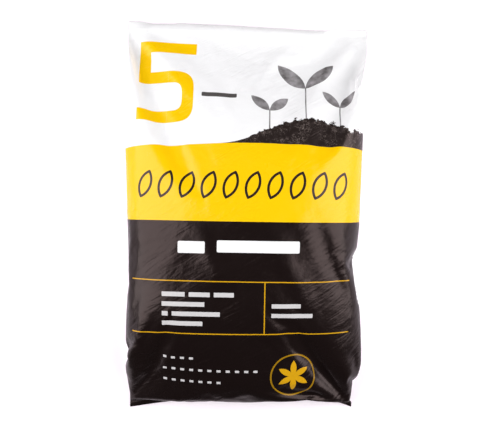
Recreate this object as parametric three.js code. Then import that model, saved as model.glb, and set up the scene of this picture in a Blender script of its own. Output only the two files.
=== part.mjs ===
// A five-litre compost bag: one tube of printed polythene film, welded across both ends and
// filled with loose peat compost. It lies on its back with the printed face up, the foot of the
// print towards -Y. The fill has settled towards the foot and leaves a flat, nearly empty head.
// Millimetres, +Z up. The origin is on the surface the bag lies on, under its middle.
import * as THREE from "three";

// The bag's own sizes.
const BAG_LENGTH = 416; // end to end, over both film flaps, as the bag lies
const HEAD_WIDTH = 260; // across the head weld
const FOOT_WIDTH = 238; // across the foot weld, which the fill has gathered
const BODY_WIDTH = 246; // across the fill at its widest
const NECK_WIDTH = 239; // across the narrow stretch where the fill runs out
const FILL_HEIGHT = 67; // the printed face over the surface at its highest
const FLAP_LENGTH = 8; // film left outside each weld
const FLAP_THICKNESS = 1; // the two films of a flap with the air between them
const FOOT_WELD_HEIGHT = 13; // the foot weld over the surface
const HEAD_WELD_HEIGHT = 3; // the head weld over the surface
const FOOT_FLAP_DROP = 7; // how far the foot flap hangs down at the middle of the foot
const FOOT_BOW = 11; // how far the fill draws in the middle of the foot
const HEAD_BOW = 2; // how far it draws in the middle of the head
const BOW_REACH = 45; // how far from an end its bow dies away
const CORNER_POWER = 4; // how close to the corners a bow or sag keeps its full size
const FOOT_CORNER_SAG = 0.55; // share of its height that the foot weld loses at its corners
const FOLD_SHARE = 0.39; // how high the side folds lie in the section, as a share of its height
const BACK_PRESS = 0.02; // share of the fold's height that presses the back flat

// The print's fields of colour, by their distance from the foot of the bag.
const BAND_BOTTOM = 203; // where the black foot meets the yellow band
const BAND_TOP = 281; // where the yellow band meets the white head

// Stations where the bag's outline and section are set, by their distance from the foot.
const FOOT_WELD = FLAP_LENGTH;
const HEAD_WELD = BAG_LENGTH - FLAP_LENGTH;
const FOOT_SHOULDER = 86; // where the rounded foot end has turned into the printed face
const BODY_STATION = 95; // where the fill is widest
const CROWN_STATION = 165; // where the fill is thickest
const NECK_STATION = 333; // where the outline is narrowest
const LIFT_REACH = 22; // how far from each weld the back leaves the surface

// How far the outline lies inside the body's or the head's half width between those stations.
const FOOT_INSET = 1; // half-way from the foot to the body station
const HEAD_INSET = 3.5; // where the back leaves the surface, near the head

// How far the printed face has fallen from its full height, on the middle line.
const FALL = { foot: 10, shoulder: 5, bandBottom: 0.5, bandTop: 10, neck: 35 };
const HEAD_RISE = 11; // how far it lies over the head weld, two flap lengths inside it

// The section's squareness: a high value is a flat top with steep sides, 2 is an ellipse.
const SQUARENESS = { foot: 2.1, body: 2.1, band: 2.2, neck: 2.3, head: 4 };
const BACK_SQUARENESS = 7; // how much squarer the back is than the printed face

// Wrinkles. A slant is how far a wave shifts along the bag's edge for each millimetre inwards.
const FOOT_GATHER = { height: 2.2, pitch: 27, reach: 26, slant: 0 }; // ripples up from the foot weld
const HEAD_GATHER = { height: 1.2, pitch: 62, reach: 40, slant: 0.5 }; // slow waves in the flat head
const SIDE_GATHER = { height: 1.4, pitch: 46, reach: 16, slant: 0.33 }; // puckers along both side folds
const WRINKLE_ROOM = 6; // thickness of the bag from which its wrinkles have their full height
const CREASE_FADE = 0.05; // how far short of fully fading a crease stops at its two ends

// Long creases of the printed face. Each runs straight between two points, given by the share of
// the half width from the middle line and the distance from the foot, and fades at its ends.
const CREASES = [
  { from: [0.5, 226], to: [0.82, 128], height: -3.2, reach: 8 }, // valley down the right shoulder
  { from: [0.76, 152], to: [0.95, 62], height: -3.4, reach: 7 }, // the same valley, nearer the foot
  { from: [0.26, 214], to: [0.62, 112], height: 2.2, reach: 13 }, // ridge inside that valley
  { from: [0.58, 128], to: [0.9, 34], height: 2.4, reach: 10 }, // the ridge, on to the foot corner
  { from: [-0.3, 224], to: [-0.72, 128], height: 1, reach: 16 }, // ridge down the left shoulder
  { from: [-0.72, 150], to: [-0.88, 40], height: 1.2, reach: 9 }, // the ridge, on to the foot corner
  { from: [-0.1, 168], to: [0.16, 196], height: 1.4, reach: 9 }, // short slanting ripple
  { from: [-0.3, 118], to: [0.12, 156], height: -1.6, reach: 14 }, // broad dip over the foot panel
  { from: [0.98, 8], to: [0.6, 66], height: -2.6, reach: 7 }, // pull line from the right foot corner
  { from: [-0.98, 8], to: [-0.66, 60], height: -2.4, reach: 7 }, // pull line from the left foot corner
  { from: [0.98, 8], to: [0.3, 36], height: 2, reach: 6 }, // fold along the foot, right
  { from: [-0.98, 8], to: [-0.4, 34], height: 1.8, reach: 6 }, // fold along the foot, left
  { from: [-1, 372], to: [-0.7, 336], height: -2.4, reach: 8 }, // tuck below the left head corner
  { from: [0.98, 366], to: [0.72, 330], height: -2, reach: 9 }, // tuck below the right head corner
  { from: [-0.62, 330], to: [0.1, 300], height: 1.6, reach: 15 }, // soft swell under the head
];

// How finely the bag is drawn.
const COLUMNS = 34; // faces across each film
const ROWS = { flap: 1, foot: 27, band: 10, head: 19 }; // faces along each stretch
const FOOT_CROWDING = 1.35; // how much closer together the rows lie at the foot weld

const FILM_COLOURS = { white: 0xf4f4f8, yellow: 0xffd200, black: 0x191313 };

/** A smooth curve through [station, value] pairs, read at any station between the first and last. */
function smoothThrough(pairs) {
  const stations = pairs.map(([station]) => station);
  const values = pairs.map(([, value]) => value);
  const curve = new THREE.CubicInterpolant(stations, values, 1);
  return (station) => curve.evaluate(THREE.MathUtils.clamp(station, stations[0], stations.at(-1)))[0];
}

/** Rises from 0 to 1 over a distance, steeply at first, as the end of a filled bag does. */
function domed(distance, reach) {
  const left = 1 - THREE.MathUtils.clamp(distance / reach, 0, 1);
  return Math.sqrt(1 - left * left);
}

const halfWidth = smoothThrough([
  [0, FOOT_WIDTH / 2],
  [FOOT_WELD, FOOT_WIDTH / 2],
  [BODY_STATION / 2, BODY_WIDTH / 2 - FOOT_INSET],
  [BODY_STATION, BODY_WIDTH / 2],
  [BAND_BOTTOM, (BODY_WIDTH + NECK_WIDTH) / 4],
  [NECK_STATION, NECK_WIDTH / 2],
  [HEAD_WELD - LIFT_REACH, HEAD_WIDTH / 2 - HEAD_INSET],
  [HEAD_WELD, HEAD_WIDTH / 2],
  [BAG_LENGTH, HEAD_WIDTH / 2],
]);

const fillTop = smoothThrough([
  [FOOT_WELD, FILL_HEIGHT - FALL.foot],
  [FOOT_SHOULDER, FILL_HEIGHT - FALL.shoulder],
  [CROWN_STATION, FILL_HEIGHT],
  [BAND_BOTTOM, FILL_HEIGHT - FALL.bandBottom],
  [BAND_TOP, FILL_HEIGHT - FALL.bandTop],
  [NECK_STATION, FILL_HEIGHT - FALL.neck],
  [HEAD_WELD - 2 * FLAP_LENGTH, HEAD_WELD_HEIGHT + HEAD_RISE],
  [HEAD_WELD, HEAD_WELD_HEIGHT + FLAP_THICKNESS / 2],
]);

const squareness = smoothThrough([
  [FOOT_WELD, SQUARENESS.foot],
  [BODY_STATION, SQUARENESS.body],
  [BAND_BOTTOM, SQUARENESS.band],
  [NECK_STATION, SQUARENESS.neck],
  [HEAD_WELD, SQUARENESS.head],
]);

/** Height of the printed face on the middle line. */
function topHeight(station) {
  const weld = FOOT_WELD_HEIGHT + FLAP_THICKNESS / 2;
  const share = domed(station - FOOT_WELD, FOOT_SHOULDER - FOOT_WELD);
  return weld + (fillTop(station) - weld) * share;
}

/** Height of the back on the middle line: it lies flat on the surface except near the welds. */
function baseHeight(station) {
  const footLift = 1 - domed(station - FOOT_WELD, LIFT_REACH);
  const headLift = 1 - domed(HEAD_WELD - station, LIFT_REACH);
  return (
    footLift * (FOOT_WELD_HEIGHT - FLAP_THICKNESS / 2) +
    headLift * (HEAD_WELD_HEIGHT - FLAP_THICKNESS / 2)
  );
}

/** Share of a crease's height at a point of the printed face. */
function creaseShare(crease, x, station) {
  const [start, end] = [crease.from, crease.to].map(
    ([share, distance]) => new THREE.Vector3(share * halfWidth(distance), distance, 0),
  );
  const line = new THREE.Line3(start, end);
  const point = new THREE.Vector3(x, station, 0);
  const along = line.closestPointToPointParameter(point, true);
  const away = line.at(along, new THREE.Vector3()).distanceTo(point) / crease.reach;
  const place = THREE.MathUtils.lerp(CREASE_FADE, 1 - CREASE_FADE, along);
  return Math.exp(-away * away) * Math.sin(Math.PI * place);
}

/** Height that the wrinkles add to the printed face at a point. */
function wrinkle(x, station, share) {
  const wave = ({ height, pitch, reach, slant }, distance, along, inwards) =>
    height * Math.cos((2 * Math.PI * (along + slant * inwards)) / pitch) * Math.exp(-distance / reach);
  const sideDistance = halfWidth(station) * (1 - Math.abs(share));
  const gathers =
    wave(FOOT_GATHER, station - FOOT_WELD, x, station) +
    wave(HEAD_GATHER, HEAD_WELD - station, x, station) +
    wave(SIDE_GATHER, sideDistance, station, x);
  return CREASES.reduce((sum, crease) => sum + crease.height * creaseShare(crease, x, station), gathers);
}

/** Where a point of the outline lies along the bag, once the fill has bowed the ends in. */
function bowed(station, share) {
  const bulge = 1 - share ** CORNER_POWER;
  const foot = FOOT_BOW * bulge * Math.exp(-station / BOW_REACH);
  const head = HEAD_BOW * bulge * Math.exp(-(BAG_LENGTH - station) / BOW_REACH);
  return station - BAG_LENGTH / 2 + foot - head;
}

/** The two films' points at one place of a flap: printed film first. */
function flapPoints(station, share) {
  const atFoot = station < BAG_LENGTH / 2;
  const outside = atFoot ? FOOT_WELD - station : station - HEAD_WELD;
  const drop = atFoot ? (FOOT_FLAP_DROP * outside * (1 - share ** CORNER_POWER)) / FLAP_LENGTH : 0;
  const middle = (atFoot ? FOOT_WELD_HEIGHT * weldSag(share) : HEAD_WELD_HEIGHT) - drop;
  const half = Math.abs(share) === 1 ? 0 : FLAP_THICKNESS / 2;
  const x = share * halfWidth(station);
  const y = bowed(station, share) + drop / 2;
  return [new THREE.Vector3(x, y, middle + half), new THREE.Vector3(x, y, middle - half)];
}

/** The foot weld hangs lower towards its corners, where there is less fill to hold it up. */
function weldSag(share) {
  return 1 - FOOT_CORNER_SAG * share ** CORNER_POWER;
}

/** The two films' points at one place of the filled bag: printed film first. */
function bodyPoints(station, share) {
  const rim = Math.abs(share) === 1;
  const section = Math.sqrt(1 - Math.abs(share) ** squareness(station));
  const back = Math.sqrt(1 - Math.abs(share) ** (squareness(station) + BACK_SQUARENESS));
  const sag = THREE.MathUtils.lerp(weldSag(share), 1, domed(station - FOOT_WELD, FOOT_SHOULDER));
  const top = topHeight(station) * sag;
  const base = baseHeight(station) * sag;
  const fold = THREE.MathUtils.lerp(base, top, FOLD_SHARE);
  const x = share * halfWidth(station);
  const y = bowed(station, share);
  const free = THREE.MathUtils.smoothstep(top - base, FLAP_THICKNESS, WRINKLE_ROOM);
  const printed = fold + (top - fold) * section + (rim ? 0 : wrinkle(x, station, share) * free);
  const under = Math.max(0, fold - (fold - base) * back - (rim ? 0 : BACK_PRESS * fold));
  return [
    new THREE.Vector3(x, y, rim ? fold : Math.max(printed, under + FLAP_THICKNESS)),
    new THREE.Vector3(x, y, rim ? fold : under),
  ];
}

/** Distances from the foot of every row of points, with the print's borders on rows of their own. */
function rowStations() {
  const stretch = (from, to, count, crowding = 1) =>
    Array.from({ length: count }, (_, row) => from + (to - from) * (row / count) ** crowding);
  return [
    ...stretch(0, FOOT_WELD, ROWS.flap),
    ...stretch(FOOT_WELD, BAND_BOTTOM, ROWS.foot, FOOT_CROWDING),
    ...stretch(BAND_BOTTOM, BAND_TOP, ROWS.band),
    ...stretch(BAND_TOP, HEAD_WELD, ROWS.head),
    ...stretch(HEAD_WELD, BAG_LENGTH, ROWS.flap),
    BAG_LENGTH,
  ];
}

/** Shares of the half width at every column, closer together towards the side folds. */
function columnShares() {
  return Array.from({ length: COLUMNS + 1 }, (_, column) => {
    if (column === 0 || column === COLUMNS) return column ? 1 : -1;
    const even = (2 * column) / COLUMNS - 1;
    return (even - Math.cos((Math.PI * column) / COLUMNS)) / 2;
  });
}

/** The colour of the printed film between two rows. */
function printColour(station) {
  if (station < BAND_BOTTOM) return FILM_COLOURS.black;
  return station < BAND_TOP ? FILM_COLOURS.yellow : FILM_COLOURS.white;
}

/** The whole bag as one closed surface with a colour on every face. */
function bagGeometry() {
  const positions = [];
  const colours = [];
  const face = (colour, ...corners) => {
    const tint = new THREE.Color(colour);
    for (const corner of corners) {
      positions.push(...corner);
      colours.push(...tint);
    }
  };
  const quad = (colour, a, b, c, d) => {
    if (!a.equals(b) && !b.equals(c)) face(colour, a, b, c);
    if (!a.equals(d) && !d.equals(c)) face(colour, a, c, d);
  };

  const stations = rowStations();
  const shares = columnShares();
  const rows = stations.map((station) => {
    const onFlap = station <= FOOT_WELD || station >= HEAD_WELD;
    return shares.map((share) => (onFlap ? flapPoints(station, share) : bodyPoints(station, share)));
  });
  for (let row = 0; row + 1 < rows.length; row++) {
    const print = printColour((stations[row] + stations[row + 1]) / 2);
    for (let column = 0; column < COLUMNS; column++) {
      const [near, far] = [rows[row], rows[row + 1]];
      quad(print, near[column][0], near[column + 1][0], far[column + 1][0], far[column][0]);
      quad(FILM_COLOURS.white, near[column + 1][1], near[column][1], far[column][1], far[column + 1][1]);
    }
  }
  const [foot, head] = [rows[0], rows.at(-1)];
  for (let column = 0; column < COLUMNS; column++) {
    quad(FILM_COLOURS.black, foot[column][1], foot[column + 1][1], foot[column + 1][0], foot[column][0]);
    quad(FILM_COLOURS.white, head[column + 1][1], head[column][1], head[column][0], head[column + 1][0]);
  }

  const geometry = new THREE.BufferGeometry();
  geometry.setAttribute("position", new THREE.Float32BufferAttribute(positions, 3));
  geometry.setAttribute("color", new THREE.Float32BufferAttribute(colours, 3));
  geometry.computeVertexNormals();
  return geometry;
}

const film = new THREE.MeshStandardMaterial({ vertexColors: true, roughness: 0.32, metalness: 0 });
const bag = new THREE.Mesh(bagGeometry(), film);
bag.name = "filled_bag";

const compostBag = new THREE.Group();
compostBag.add(bag);

export default compostBag;
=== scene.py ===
import logging
import math
from collections.abc import Iterable, Iterator, Sequence
from dataclasses import dataclass, field
from enum import Enum

import bpy
import numpy as np
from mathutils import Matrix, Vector

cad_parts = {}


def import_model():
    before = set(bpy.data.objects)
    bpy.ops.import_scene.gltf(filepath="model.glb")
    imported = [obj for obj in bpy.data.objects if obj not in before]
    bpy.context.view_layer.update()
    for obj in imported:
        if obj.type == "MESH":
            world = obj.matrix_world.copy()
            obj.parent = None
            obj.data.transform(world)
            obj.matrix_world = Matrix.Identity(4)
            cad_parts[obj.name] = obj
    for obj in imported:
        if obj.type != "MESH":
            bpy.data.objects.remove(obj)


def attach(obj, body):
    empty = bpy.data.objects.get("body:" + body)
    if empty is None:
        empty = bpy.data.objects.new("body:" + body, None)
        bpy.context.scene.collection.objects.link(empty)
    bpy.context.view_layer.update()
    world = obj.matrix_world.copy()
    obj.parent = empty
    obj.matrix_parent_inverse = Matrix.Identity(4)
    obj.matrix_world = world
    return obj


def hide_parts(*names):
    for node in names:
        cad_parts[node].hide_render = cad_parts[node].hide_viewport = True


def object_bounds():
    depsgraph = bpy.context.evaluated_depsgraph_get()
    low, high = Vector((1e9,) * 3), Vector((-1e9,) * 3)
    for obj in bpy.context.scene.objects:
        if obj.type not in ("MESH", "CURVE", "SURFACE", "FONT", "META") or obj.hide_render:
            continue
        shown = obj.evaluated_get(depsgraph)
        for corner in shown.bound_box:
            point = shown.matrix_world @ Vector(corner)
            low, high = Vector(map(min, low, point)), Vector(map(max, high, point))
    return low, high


# A five-litre compost bag that lies on its back: one printed film tube, welded at foot and head.
# Geometry is in metres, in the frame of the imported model: +Y points to the head, +Z up.
# A place on the film is given as it lies flat: across from the middle line, along from the foot
# weld. The print is laid out on the flat film in millimetres.

LOG = logging.getLogger("compost_bag")
NODE = "filled_bag"
FILM_MAP = "film"
MILLIMETRES = 1000.0
PURE_WHITE = (1.0, 1.0, 1.0, 1.0)

Socket = bpy.types.NodeSocket
Value = float | Socket


def flat_square(name: str, reach: float) -> bpy.types.Object:
    """Makes a level square at height 0, around the origin.

    Args:
        name: Its name.
        reach: Half its side.

    Returns:
        The square.
    """
    corners = [(-reach, -reach, 0), (reach, -reach, 0), (reach, reach, 0), (-reach, reach, 0)]
    mesh = bpy.data.meshes.new(name)
    mesh.from_pydata(corners, [], [(0, 1, 2, 3)])
    square = bpy.data.objects.new(name, mesh)
    bpy.context.collection.objects.link(square)
    return square


def smooth_step(low: float, high: float, values: np.ndarray) -> np.ndarray:
    """Rises smoothly from 0 at low to 1 at high.

    Args:
        low: Where the rise starts.
        high: Where it ends.
        values: The places to read it at.

    Returns:
        The height of the step at each place.
    """
    share = np.clip((values - low) / (high - low), 0, 1)
    return share * share * (3 - 2 * share)


class Sheet(Enum):
    """The two sheets of the flat tube. The value is the sheet's material index."""

    FRONT = 0
    BACK = 1


class Ink(Enum):
    """The colours on the film, as linear red, green and blue."""

    WHITE = (0.93, 0.925, 0.94)
    YELLOW = (0.96, 0.575, 0.001)
    BLACK = (0.0075, 0.0042, 0.004)
    PALE = (0.64, 0.62, 0.63)
    GOLD = (0.7, 0.37, 0.007)
    GREY = (0.085, 0.078, 0.076)
    SOIL = (0.02, 0.014, 0.013)
    CRUMB = (0.17, 0.135, 0.125)
    LEAF_LIGHT = (0.42, 0.4, 0.42)
    # Painted shade: the greyer white of the soft patches laid over the white film.
    SHADED_WHITE = (0.76, 0.75, 0.77)


@dataclass(frozen=True)
class FilmTube:
    """The film as it lies flat, with the points that carry it.

    Attributes:
        width: Across the flat tube, from side fold to side fold.
        foot_width: The same at the foot weld.
        head_width: The same at the head weld.
        narrowing: Distances from the two welds over which the tube runs in to those widths.
        length: Between the two welds.
        flap: Film left outside each weld.
        columns: Faces across each sheet.
        rows: Faces between the welds.
        flap_rows: Faces along each flap.
    """

    width: float = 0.273
    foot_width: float = 0.252
    head_width: float = 0.264
    narrowing: tuple[float, float] = (0.055, 0.13)
    length: float = 0.420
    flap: float = 0.008
    columns: int = 72
    rows: int = 116
    flap_rows: int = 3

    def stations(self) -> np.ndarray:
        """Places the rows of points, closer together on the flaps.

        Returns:
            The distance of every row from the foot weld.
        """
        foot = np.linspace(-self.flap, 0, self.flap_rows, endpoint=False)
        body = np.linspace(0, self.length, self.rows, endpoint=False)
        head = np.linspace(self.length, self.length + self.flap, self.flap_rows + 1)
        return np.concatenate([foot, body, head])

    def places(self) -> tuple[np.ndarray, np.ndarray]:
        """Places every point of one sheet.

        Returns:
            Two grids, of the points' distances from the middle line and from the foot weld.
        """
        side, along = np.meshgrid(np.linspace(-1, 1, self.columns + 1), self.stations())
        foot, head = self.narrowing
        near_foot = 1 - smooth_step(0, foot, along)
        near_head = smooth_step(self.length - head, self.length, along)
        width = self.width + (self.foot_width - self.width) * near_foot
        width += (self.head_width - self.width) * near_head
        return side * width / 2, along

    def open_rows(self) -> slice:
        """Gives the rows strictly between the welds, where the two sheets lie apart."""
        return slice(self.flap_rows + 1, self.flap_rows + self.rows)


@dataclass(frozen=True)
class Lie:
    """How the filled bag lies: the outline that its corners and side folds are drawn in to.

    Attributes:
        stations: Distances from the foot weld where the outline is set, as shares of the length.
        half_widths: Half the width of the lying bag at each of them.
        foot: Where the foot weld lies along Y.
        head: Where the head weld lies along Y.
        foot_skew: How much further to +Y the foot weld lies at its right end than in the middle.
        head_skew: The same for the head weld.
        weld_height: Height of both welds' corners over the floor.
        foot_bow: How far the middle of the foot weld is drawn in from its corners.
        foot_lift: How far it is lifted over them.
        ear_powers: How close to the left and the right corner the foot stays undrawn.
        hold_from: Where along a weld the hold on it starts, as a share of its half.
        hold_full: Where the hold is full, from there to the corner.
    """

    stations: tuple[float, ...] = (0.0, 0.24, 0.47, 0.79, 0.94, 1.0)
    half_widths: tuple[float, ...] = (0.1205, 0.1225, 0.1215, 0.1195, 0.1270, 0.1298)
    foot: float = -0.1998
    head: float = 0.1987
    foot_skew: float = 0.0020
    head_skew: float = -0.0023
    weld_height: float = 0.004
    foot_bow: float = 0.0125
    foot_lift: float = 0.016
    ear_powers: tuple[float, float] = (2.1, 6.0)
    hold_from: float = 0.35
    hold_full: float = 0.95


@dataclass(frozen=True)
class Fill:
    """The compost inside, as the push that it gives the film.

    Attributes:
        push: Even push on the film, in the simulation's units.
        weight: Density of the fill, which makes it press harder low down.
        head_start: Where the fill starts to thin out towards the head.
        head_end: Where only a little is left.
        head_share: Share of the push that is left there.
        foot_share: Share of the push at the foot weld itself.
        foot_reach: How far from the foot weld the push is full again.
        unevenness: How much the push varies from place to place.
        waves: How many waves that variation has.
        shortest: Shortest pitch of such a wave.
        longest: Longest pitch of such a wave.
        least: Least share of the push anywhere between the welds.
        seed: Seed of that variation.
    """

    push: float = 5.0
    weight: float = 4.0
    head_start: float = 0.24
    head_end: float = 0.36
    head_share: float = 0.03
    foot_share: float = 0.75
    foot_reach: float = 0.03
    unevenness: float = 0.75
    waves: int = 14
    shortest: float = 0.05
    longest: float = 0.12
    least: float = 0.02
    seed: int = 5

    def share(self, across: np.ndarray, along: np.ndarray) -> np.ndarray:
        """Gives the share of the push at places of the film.

        Args:
            across: Distances from the middle line.
            along: Distances from the foot weld.

        Returns:
            A share from 0 to 1 for every place, 0 on the flaps.
        """
        dice = np.random.default_rng(self.seed)
        uneven = np.zeros_like(across)
        for _ in range(self.waves):
            angle = dice.uniform(0, 2 * math.pi)
            pitch = dice.uniform(self.shortest, self.longest)
            start = dice.uniform(0, 2 * math.pi)
            travel = across * math.cos(angle) + along * math.sin(angle)
            uneven += np.sin(2 * math.pi * travel / pitch + start) / math.sqrt(self.waves)
        head = 1 - (1 - self.head_share) * smooth_step(self.head_start, self.head_end, along)
        foot = self.foot_share + (1 - self.foot_share) * smooth_step(0, self.foot_reach, along)
        share = head * foot * (1 + self.unevenness * uneven / 2)
        return np.where(along < 0, 0, np.clip(share, self.least, 1))


@dataclass(frozen=True)
class Crease:
    """A long soft crease of the printed face, laid along a line on the flat film.

    Attributes:
        line: Across and along of the points that it runs through.
        height: Its height in the middle, negative for a valley.
        reach: How far from its line it dies away.
    """

    line: tuple[tuple[float, float], ...]
    height: float
    reach: float

    def lift(self, across: np.ndarray, along: np.ndarray) -> np.ndarray:
        """Gives how far the crease lifts the film.

        Args:
            across: Distances from the middle line.
            along: Distances from the foot weld.

        Returns:
            The lift at every place.
        """
        corners = np.array(self.line)
        steps = np.linalg.norm(np.diff(corners, axis=0), axis=1)
        starts = np.concatenate([[0], np.cumsum(steps)])
        away = np.full(across.shape, np.inf)
        travel = np.zeros(across.shape)
        for corner, step, length, start in zip(corners, np.diff(corners, axis=0), steps, starts):
            x, y = across - corner[0], along - corner[1]
            share = np.clip((x * step[0] + y * step[1]) / length**2, 0, 1)
            distance = np.hypot(x - share * step[0], y - share * step[1])
            travel = np.where(distance < away, start + share * length, travel)
            away = np.minimum(distance, away)
        fade = np.sin(math.pi * travel / starts[-1])
        return self.height * fade * np.exp(-((away / self.reach) ** 2))


@dataclass(frozen=True)
class FilmCloth:
    """How the film behaves while the bag is filled and comes to rest.

    Attributes:
        mass: Weight of each point.
        stretch: Stiffness against stretching and squeezing.
        shear: Stiffness against shearing.
        bend: Stiffness against bending.
        quality: Steps in each frame.
        frames: Frames until the bag is at rest.
        drawn_at: Frame at which its corners have been drawn in.
        gap: Least distance between the film and the floor.
        grip: How firmly the floor holds the film back from sliding.
    """

    mass: float = 0.0007
    stretch: float = 15.0
    shear: float = 5.0
    bend: float = 0.05
    quality: int = 6
    frames: int = 42
    drawn_at: int = 20
    gap: float = 0.001
    grip: float = 5.0


@dataclass(frozen=True)
class StartForm:
    """The two plain forms of the film that the simulation starts from and is drawn in to.

    Attributes:
        height: Height of the empty tube over the floor.
        bulge: How far each sheet of it is lifted off the other.
        dome_height: Height of the plain dome of the drawn-in bag.
        dome_power: How boxy the dome is across the bag.
        dome_rise: Share of the length over which it rises from the foot.
        dome_fall: Share of the length where it starts to fall towards the head.
        foot_fade: Share of the length over which the drawn-in form of the foot weld fades out.
    """

    height: float = 0.018
    bulge: float = 0.010
    dome_height: float = 0.055
    dome_power: float = 2.6
    dome_rise: float = 0.15
    dome_fall: float = 0.5
    foot_fade: float = 0.1


@dataclass
class FilledBag:
    """The filled and welded bag: two sheets of one film tube with a flap outside each weld.

    Attributes:
        tube: The flat film.
        lie: The outline that the bag comes to rest in.
        fill: The compost.
        cloth: The film's behaviour.
        start: The plain forms that the simulation works from.
        flap_gap: Thickness of a flap: two films with the air between them.
        parting: Least height of the front sheet over the back one between the welds.
        fullness: How much higher the settled fill holds the film than its plain push does.
        creases: The long creases of the printed face.
    """

    tube: FilmTube = field(default_factory=FilmTube)
    lie: Lie = field(default_factory=Lie)
    fill: Fill = field(default_factory=Fill)
    cloth: FilmCloth = field(default_factory=FilmCloth)
    start: StartForm = field(default_factory=StartForm)
    flap_gap: float = 0.0006
    parting: float = 0.0012
    fullness: float = 1.06
    creases: tuple[Crease, ...] = (
        Crease(((0.070, 0.222), (0.087, 0.175), (0.100, 0.146), (0.112, 0.110)), -0.003, 0.009),
        Crease(((0.024, 0.212), (0.045, 0.165), (0.066, 0.130), (0.092, 0.075)), 0.0016, 0.011),
        Crease(((-0.040, 0.215), (-0.078, 0.160), (-0.098, 0.085)), 0.0012, 0.012),
        Crease(((0.118, 0.012), (0.085, 0.045), (0.074, 0.085)), -0.0022, 0.008),
        Crease(((-0.118, 0.012), (-0.092, 0.040), (-0.086, 0.070)), -0.0018, 0.008),
        Crease(((-0.030, 0.118), (0.010, 0.150)), -0.0008, 0.012),
        Crease(((-0.046, 0.206), (-0.034, 0.175), (-0.020, 0.142)), 0.0015, 0.009),
    )

    def __post_init__(self) -> None:
        """Numbers the points of both sheets: they share the side folds, the welds and the flaps."""
        self.across, self.along = self.tube.places()
        self.front = np.arange(self.across.size).reshape(self.across.shape)
        self.apart = np.zeros(self.across.shape, dtype=bool)
        self.apart[self.tube.open_rows(), 1:-1] = True
        self.back = self.front.copy()
        self.back[self.apart] = self.across.size + np.arange(self.apart.sum())

    def both(self, front: np.ndarray, back: np.ndarray) -> np.ndarray:
        """Puts the values of the two sheets into one list.

        Args:
            front: A value or a place for every point of the front sheet, as a grid.
            back: The same for the back sheet.

        Returns:
            One row for each point of the closed tube, in the points' order.
        """
        lower = back[self.apart]
        upper = front.reshape(front.size // lower[0].size, -1)
        return np.concatenate([upper, lower.reshape(len(lower), -1)])

    def flat_form(self) -> np.ndarray:
        """Lays out the empty tube, its sheets apart by a bulge that is full in the middle.

        Returns:
            The place of every point.
        """
        share = np.clip(self.along / self.tube.length, 0, 1)
        side = 1 - (self.across / self.across.max(axis=1, keepdims=True)) ** 2
        lift = self.start.bulge * 4 * share * (1 - share) * side
        y = self.along - self.tube.length / 2
        heights = [self.start.height + sign * lift for sign in (1, -1)]
        return self.both(*(np.stack([self.across, y, height], axis=-1) for height in heights))

    def drawn_form(self) -> np.ndarray:
        """Lays out the bag in the outline that it rests in, plainly domed.

        Returns:
            The place of every point.
        """
        share = self.along / self.tube.length
        half = np.interp(share, self.lie.stations, self.lie.half_widths)
        side = self.across / self.across.max(axis=1, keepdims=True)
        x = side * half
        skew = self.lie.foot_skew + share * (self.lie.head_skew - self.lie.foot_skew)
        y = self.lie.foot + share * (self.lie.head - self.lie.foot) + side * skew
        start = self.start
        drawn = self.foot_drawn(side) * (1 - smooth_step(0, start.foot_fade, share))
        y += self.lie.foot_bow * drawn
        rise = np.sqrt(smooth_step(0, start.dome_rise, share))
        ends = rise * (1 - smooth_step(start.dome_fall, 1, share))
        arch = np.sqrt(np.clip(1 - np.abs(side) ** start.dome_power, 0, 1))
        dome = start.dome_height * ends * arch
        rest = self.lie.weld_height + self.lie.foot_lift * drawn
        rest -= self.flap_fall(drawn)
        top = np.maximum(rest, dome)
        bottom = np.where(dome > 0, rest / 2, rest)
        return self.both(np.stack([x, y, top], axis=-1), np.stack([x, y, bottom], axis=-1))

    def foot_drawn(self, side: np.ndarray) -> np.ndarray:
        """Gives how far the foot weld is drawn in, from 0 at its corners to 1 in the middle."""
        power = np.where(side < 0, self.lie.ear_powers[0], self.lie.ear_powers[1])
        return 1 - np.abs(side) ** power

    def flap_fall(self, drawn: np.ndarray) -> np.ndarray:
        """Gives how far the foot flap hangs down below its weld, most where it is drawn in."""
        outside = np.clip(-self.along / self.tube.flap, 0, 1)
        return outside * drawn * self.lie.foot_lift / 2

    def simulation_faces(self) -> list[list[int]]:
        """Joins the points to the closed tube, with one layer of film in each flap.

        Returns:
            The point numbers of every face.
        """
        welded = slice(self.tube.flap_rows, self.tube.flap_rows + self.tube.rows + 1)
        return quads(self.front) + [face[::-1] for face in quads(self.back[welded])]

    def settle(self) -> np.ndarray:
        """Fills the flat tube with Blender's cloth while its corners are drawn in.

        Returns:
            Where every point of both sheets comes to rest.
        """
        mesh = bpy.data.meshes.new("film_at_rest")
        mesh.from_pydata(self.flat_form().tolist(), [], self.simulation_faces())
        film = bpy.data.objects.new("film_at_rest", mesh)
        bpy.context.collection.objects.link(film)
        self.draw_in(film)
        self.weigh(film)
        floor = self.settling_floor()
        self.add_cloth(film)
        for frame in range(1, self.cloth.frames + 1):
            bpy.context.scene.frame_set(frame)
        evaluated = film.evaluated_get(bpy.context.evaluated_depsgraph_get())
        points = np.empty(len(mesh.vertices) * 3)
        evaluated.data.vertices.foreach_get("co", points)
        bpy.context.scene.frame_set(1)
        for made in (film, floor):
            data = made.data
            bpy.data.objects.remove(made)
            bpy.data.meshes.remove(data)
        return points.reshape(-1, 3) * (1, 1, self.fullness)

    def draw_in(self, film: bpy.types.Object) -> None:
        """Adds the shape that draws the pinned corners in over the first frames.

        Args:
            film: The film, with its points in their flat places.
        """
        film.shape_key_add(name="flat")
        drawn = film.shape_key_add(name="drawn_in")
        drawn.data.foreach_set("co", self.drawn_form().ravel())
        for value, frame in ((0.0, 1), (1.0, self.cloth.drawn_at)):
            drawn.value = value
            drawn.keyframe_insert("value", frame=frame)

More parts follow.
